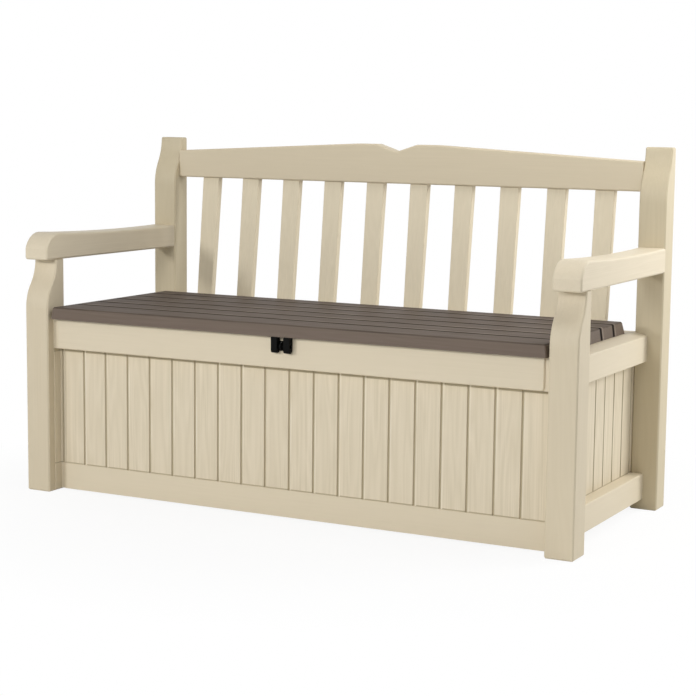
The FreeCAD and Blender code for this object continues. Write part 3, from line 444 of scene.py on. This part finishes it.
# the joints' colours: dirt with painted shade in the grooves, and a painted highlight with rub
# beside them
LID_DIRT_AND_SHADE = "#1A1512"
LID_RUB_AND_HIGHLIGHT = "#887B70"
LID_ROUGHNESS = 0.4
LID_GLOSS = 0.12
LID_RELIEF = 0.45 * MM
LID_EDGE = 1.2 * MM
LID_PLANK = 80.5 * MM
LID_PLANK_START = -202 * MM
LID_PLANK_TOP = (442.2 * MM, 446 * MM)
LID_END = 619.5 * MM
LID_RIM_GRAIN = 0.25
# the tops' darkening: trodden dirt and painted shade
LID_TRODDEN_AND_SHADE = 0.35
# the dirt with painted shade and the rubbed edges with painted highlight are drawn wider than the
# grooves, because the photograph's low angle hides them
LID_DIRT_AND_SHADE_BAND = (-13 * MM, 2 * MM)
LID_RUB_AND_HIGHLIGHT_BAND = (2 * MM, 12 * MM)


def lid_wear_and_painted_light(tree):
    # full grain and joints with dirt, painted shade and painted highlight on the planks' tops, and
    # a nearly smooth rim and underside
    grain = grain_height(tree, "X", "Y", LID_PLANK, LID_PLANK_START)
    top = height_band(tree, *LID_PLANK_TOP)
    height = {"Factor": top, "A": calmed(tree, grain, LID_RIM_GRAIN), "B": grain}
    height = node(tree, "ShaderNodeMix", height).outputs["Result"]
    # the joints' dark and pale bands go on the tops and at the lid's two ends, and not on the rim
    # at its front
    spot = node(tree, "ShaderNodeTexCoord").outputs["Object"]
    place = node(tree, "ShaderNodeSeparateXYZ", {0: spot}).outputs
    end = node(tree, "ShaderNodeMath", {0: place["X"]}, operation="ABSOLUTE").outputs[0]
    end = node(tree, "ShaderNodeMath", {0: end, 1: LID_END}, operation="GREATER_THAN").outputs[0]
    top_and_ends = node(tree, "ShaderNodeMath", {0: top, 1: end}, operation="MAXIMUM").outputs[0]
    behind = {0: place["Y"], 1: LID_PLANK_START - LID_PLANK / 2}
    behind = node(tree, "ShaderNodeMath", behind, operation="GREATER_THAN").outputs[0]
    worn_and_shaded = node(tree, "ShaderNodeMath", {0: top_and_ends, 1: behind}, operation="MULTIPLY").outputs[0]
    dirt_and_shade, rub_and_highlight = [
        node(tree, "ShaderNodeMath", {0: amount, 1: worn_and_shaded}, operation="MULTIPLY").outputs[0]
        for amount in groove_wear_and_painted_light(
            tree, "Y", LID_PLANK, LID_PLANK_START, LID_DIRT_AND_SHADE_BAND, LID_RUB_AND_HIGHLIGHT_BAND
        )
    ]
    # the tops are darkened all over, by dirt trodden into the grain and by painted shade that keeps
    # them darker than the rim
    trodden_and_shade = {0: top, 1: LID_TRODDEN_AND_SHADE}
    trodden_and_shade = node(tree, "ShaderNodeMath", trodden_and_shade, operation="MULTIPLY").outputs[0]
    dirt_and_shade = node(tree, "ShaderNodeMath", {0: dirt_and_shade, 1: trodden_and_shade}, operation="MAXIMUM").outputs[0]
    return height, [dirt_and_shade, rub_and_highlight]


lid_finish = moulded_polypropylene(
    "brown polypropylene, lid planks",
    lid_wear_and_painted_light,
    light=LID_LIGHT,
    dark=LID_DARK,
    dirt_and_shade=LID_DIRT_AND_SHADE,
    rub_and_highlight=LID_RUB_AND_HIGHLIGHT,
    roughness=LID_ROUGHNESS,
    gloss=LID_GLOSS,
    relief=LID_RELIEF,
)
dress("seat_lid", lid_finish, LID_EDGE)


# The latch: a black nylon hasp under the lid's front edge and a black eye on the front rail, each
# held by small screws.
# A padlock goes through both ears of the hasp and the eye between them.
NYLON_LIGHT = "#0A0A09"
NYLON_DARK = "#020202"
NYLON_GRIT = 1.2 * MM
NYLON_SMOOTH = 0.6
NYLON_ROUGH = 0.75
NYLON_RELIEF = 0.05 * MM
NYLON_RELIEF_STRENGTH = 0.3
NYLON_GLOSS = 0.08
NYLON_IOR = 1.53
LATCH_EDGE = 0.6 * MM


def black_nylon(name):
    # glass-filled nylon: near black and dull, with a fine even mould grit that greys it slightly
    material, tree, shader = new_material(name)
    spot = node(tree, "ShaderNodeTexCoord").outputs["Object"]
    noise = {"Vector": spot, "Scale": 1 / NYLON_GRIT}
    grit = node(tree, "ShaderNodeTexNoise", noise).outputs[0]
    pigment = {"Factor": grit, COLOUR_A: linear(NYLON_DARK), COLOUR_B: linear(NYLON_LIGHT)}
    colour = node(tree, "ShaderNodeMix", pigment, data_type="RGBA").outputs[COLOUR_MIXED]
    bump = {"Strength": NYLON_RELIEF_STRENGTH, "Distance": NYLON_RELIEF, "Height": grit}
    bump = node(tree, "ShaderNodeBump", bump)
    rough = {"Value": grit, "To Min": NYLON_SMOOTH, "To Max": NYLON_ROUGH}
    rough = node(tree, "ShaderNodeMapRange", rough).outputs[0]
    tree.links.new(colour, shader.inputs["Base Color"])
    tree.links.new(bump.outputs[0], shader.inputs["Normal"])
    tree.links.new(rough, shader.inputs["Roughness"])
    shader.inputs["Specular IOR Level"].default_value = NYLON_GLOSS
    shader.inputs["IOR"].default_value = NYLON_IOR
    return material


nylon = black_nylon("black nylon")
for name in ("lid_hasp", "padlock_eye"):
    dress(name, nylon, LATCH_EDGE)


# The latch screws: zinc-plated pan heads with a cross recess, two up through the hasp into the
# lid and four small ones through the eye's plate into the front rail.
# Only the heads are modelled, because the shanks are buried in the plastic.
SCREW_SIDES = 24
# shares of the head's radius
RECESS_ARM = 0.55
RECESS_HALF_WIDTH = 0.13
CROWN_RADIUS = 0.7
# each ring's size as a share of the ring before it, and its drop as a share of the head's height
HEAD_RINGS = ((1.28, 0.2), (1 / 0.896, 0.3), (1.0, 0.5))
RECESS_RINGS = ((0.8, 0.6),)


def pan_head(name, seat, outward, radius, height):
    arm, half = radius * RECESS_ARM, radius * RECESS_HALF_WIDTH
    cross = [(arm, half), (half, half), (half, arm)]
    head = bmesh.new()
    outline = [
        head.verts.new(Matrix.Rotation(math.radians(90 * turn), 4, "Z") @ Vector((x, y, height)))
        for turn in range(4)
        for x, y in cross
    ]
    recess = [head.edges.new((outline[i - 1], outline[i])) for i in range(len(outline))]
    bmesh.ops.subdivide_edges(head, edges=recess, cuts=1)
    recess = list(head.edges)
    bmesh.ops.create_circle(
        head,
        segments=SCREW_SIDES,
        radius=radius * CROWN_RADIUS,
        matrix=Matrix.Translation((0, 0, height)),
    )
    rim = [edge for edge in head.edges if edge not in recess]
    bmesh.ops.bridge_loops(head, edges=recess + rim)
    # the dome, the side and the flat seat of the head, ring by ring, then the floor of the recess
    for edges, rings in ((rim, HEAD_RINGS), (recess, RECESS_RINGS)):
        for scale, drop in rings:
            ring = bmesh.ops.extrude_edge_only(head, edges=edges)["geom"]
            corners = [item for item in ring if isinstance(item, bmesh.types.BMVert)]
            bmesh.ops.scale(head, vec=(scale, scale, 1), verts=corners)
            bmesh.ops.translate(head, vec=(0, 0, -height * drop), verts=corners)
            edges = [
                item
                for item in ring
                if isinstance(item, bmesh.types.BMEdge) and all(v in corners for v in item.verts)
            ]
        bmesh.ops.contextual_create(head, geom=edges)
    bmesh.ops.recalc_face_normals(head, faces=head.faces)
    turn = Vector((0, 0, 1)).rotation_difference(Vector(outward)).to_matrix().to_4x4()
    bmesh.ops.transform(head, matrix=Matrix.Translation(seat) @ turn, verts=head.verts)
    mesh = bpy.data.meshes.new(name)
    head.to_mesh(mesh)
    head.free()
    mesh.materials.append(steel)
    piece = bpy.data.objects.new(name, mesh)
    bpy.context.scene.collection.objects.link(piece)
    return piece


HASP_SCREW = {"radius": 4 * MM, "height": 2.4 * MM}
HASP_SCREW_X = (-15 * MM, 15 * MM)
HASP_SCREW_Y = -272 * MM
HASP_SEAT = 422 * MM
for number, x in enumerate(HASP_SCREW_X, 1):
    seat = (x, HASP_SCREW_Y, HASP_SEAT)
    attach(pan_head("hasp_screw_%d" % number, seat, (0, 0, -1), **HASP_SCREW), "lid")
EYE_SCREW = {"radius": 2.3 * MM, "height": 1.5 * MM}
EYE_SCREW_X = (-5 * MM, 5 * MM)
EYE_SCREW_Z = (402 * MM, 390 * MM)
EYE_SEAT = -284 * MM
for number, (x, z) in enumerate([(x, z) for z in EYE_SCREW_Z for x in EYE_SCREW_X], 1):
    seat = (x, EYE_SEAT, z)
    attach(pan_head("eye_screw_%d" % number, seat, (0, -1, 0), **EYE_SCREW), "frame")


# The studio: white paper under the bench and a white room around it.
# One lamp stands far off at the front left, one in front, one behind the right end, and one hangs
# above it. Sizes and places are in metres.
FLOOR_SIZE = 14.0
SHADOW_REACH = 1.1
PAPER = "#F4F4F2"
PAPER_ROUGHNESS = 0.9
# the share of the white room that the paper takes on, near the bench and farther off
PAPER_NEAR = 0.88
PAPER_FAR = 1.0
ROOM_WHITE = 1.0
ROOM_FILL = 0.3
plane = bmesh.new()
bmesh.ops.create_grid(plane, x_segments=1, y_segments=1, size=FLOOR_SIZE / 2)
floor_mesh = bpy.data.meshes.new("studio floor")
plane.to_mesh(floor_mesh)
plane.free()
studio_floor = bpy.data.objects.new("studio_floor", floor_mesh)
bpy.context.scene.collection.objects.link(studio_floor)


def seen_directly(tree):
    # the rays that show the white room itself: those of the camera, and those in a gloss or
    # through glass
    ray = node(tree, "ShaderNodeLightPath").outputs
    seen = ray["Is Camera Ray"]
    for other in ("Is Glossy Ray", "Is Transmission Ray"):
        either = {0: seen, 1: ray[other]}
        seen = node(tree, "ShaderNodeMath", either, operation="MAXIMUM").outputs[0]
    return seen


# matt white paper that keeps a faint shadow near the bench and fades into the white room
paper, tree, shader = new_material("white studio paper")
shader.inputs["Base Color"].default_value = linear(PAPER)
shader.inputs["Roughness"].default_value = PAPER_ROUGHNESS
glow = node(tree, "ShaderNodeEmission", {"Strength": ROOM_WHITE})
spot = node(tree, "ShaderNodeTexCoord").outputs["Object"]
away = node(tree, "ShaderNodeVectorMath", {0: spot}, operation="LENGTH").outputs["Value"]
fade = {
    "Value": away,
    "From Min": SHADOW_REACH / 2,
    "From Max": SHADOW_REACH,
    "To Min": PAPER_NEAR,
    "To Max": PAPER_FAR,
}
fade = node(tree, "ShaderNodeMapRange", fade).outputs[0]
share = {0: seen_directly(tree), 1: fade}
share = node(tree, "ShaderNodeMath", share, operation="MULTIPLY").outputs[0]
mixed = node(tree, "ShaderNodeMixShader", {0: share, 1: shader.outputs[0], 2: glow.outputs[0]})
tree.links.new(mixed.outputs[0], tree.nodes["Material Output"].inputs["Surface"])
floor_mesh.materials.append(paper)

world = bpy.data.worlds.new("studio")
world.use_nodes = True
bpy.context.scene.world = world
tree = world.node_tree
fill, white = [
    node(tree, "ShaderNodeBackground", {"Color": (1, 1, 1, 1), "Strength": strength}).outputs[0]
    for strength in (ROOM_FILL, ROOM_WHITE)
]
mixed = node(tree, "ShaderNodeMixShader", {0: seen_directly(tree), 1: fill, 2: white})
tree.links.new(mixed.outputs[0], tree.nodes["World Output"].inputs["Surface"])

BENCH_MIDDLE = (0, 0, 0.4)
BENCH_RIGHT = (0.6, 0, 0.5)


def soft_lamp(name, place, target, size, watts):
    lamp = bpy.data.lights.new(name, "AREA")
    lamp.shape = "DISK"
    lamp.size = size
    lamp.energy = watts
    item = bpy.data.objects.new(name, lamp)
    aim = (Vector(target) - Vector(place)).to_track_quat("-Z", "Y")
    item.matrix_world = Matrix.Translation(place) @ aim.to_matrix().to_4x4()
    bpy.context.scene.collection.objects.link(item)


soft_lamp("key lamp", place=(-3.0, -5.6, 2.1), target=BENCH_MIDDLE, size=0.9, watts=111)
soft_lamp("front lamp", place=(0, -4.0, 1.9), target=BENCH_MIDDLE, size=1.0, watts=39.5)
soft_lamp("side lamp", place=(1.9, 1.1, 1.1), target=BENCH_RIGHT, size=0.9, watts=21.8)
soft_lamp("top lamp", place=(1.0, -0.05, 2.0), target=BENCH_MIDDLE, size=1.0, watts=13.7)

# the camera was fitted to the bench's edges in the photograph: distances in metres, angles in
# degrees, lens and sensor in millimetres
CAMERA_PLACE = (1.9216, -3.6002, 0.9045)
CAMERA_YAW = 26.891
CAMERA_PITCH = -7.589
CAMERA_ROLL = 0.757
CAMERA_LENS = 90.39
CAMERA_SENSOR = 36.0
CAMERA_SHIFT = (-0.046, 0.0)
CAMERA_REACH = 50
lens = bpy.data.cameras.new("photograph")
lens.sensor_width = CAMERA_SENSOR
lens.lens = CAMERA_LENS
lens.clip_end = CAMERA_REACH
lens.shift_x, lens.shift_y = CAMERA_SHIFT
camera = bpy.data.objects.new("photograph", lens)
camera.matrix_world = (
    Matrix.Translation(CAMERA_PLACE)
    @ Matrix.Rotation(math.radians(CAMERA_YAW), 4, "Z")
    @ Matrix.Rotation(math.radians(90 + CAMERA_PITCH), 4, "X")
    @ Matrix.Rotation(math.radians(CAMERA_ROLL), 4, "Z")
)
bpy.context.scene.collection.objects.link(camera)
bpy.context.scene.camera = camera
bpy.context.scene.view_settings.view_transform = "Standard"
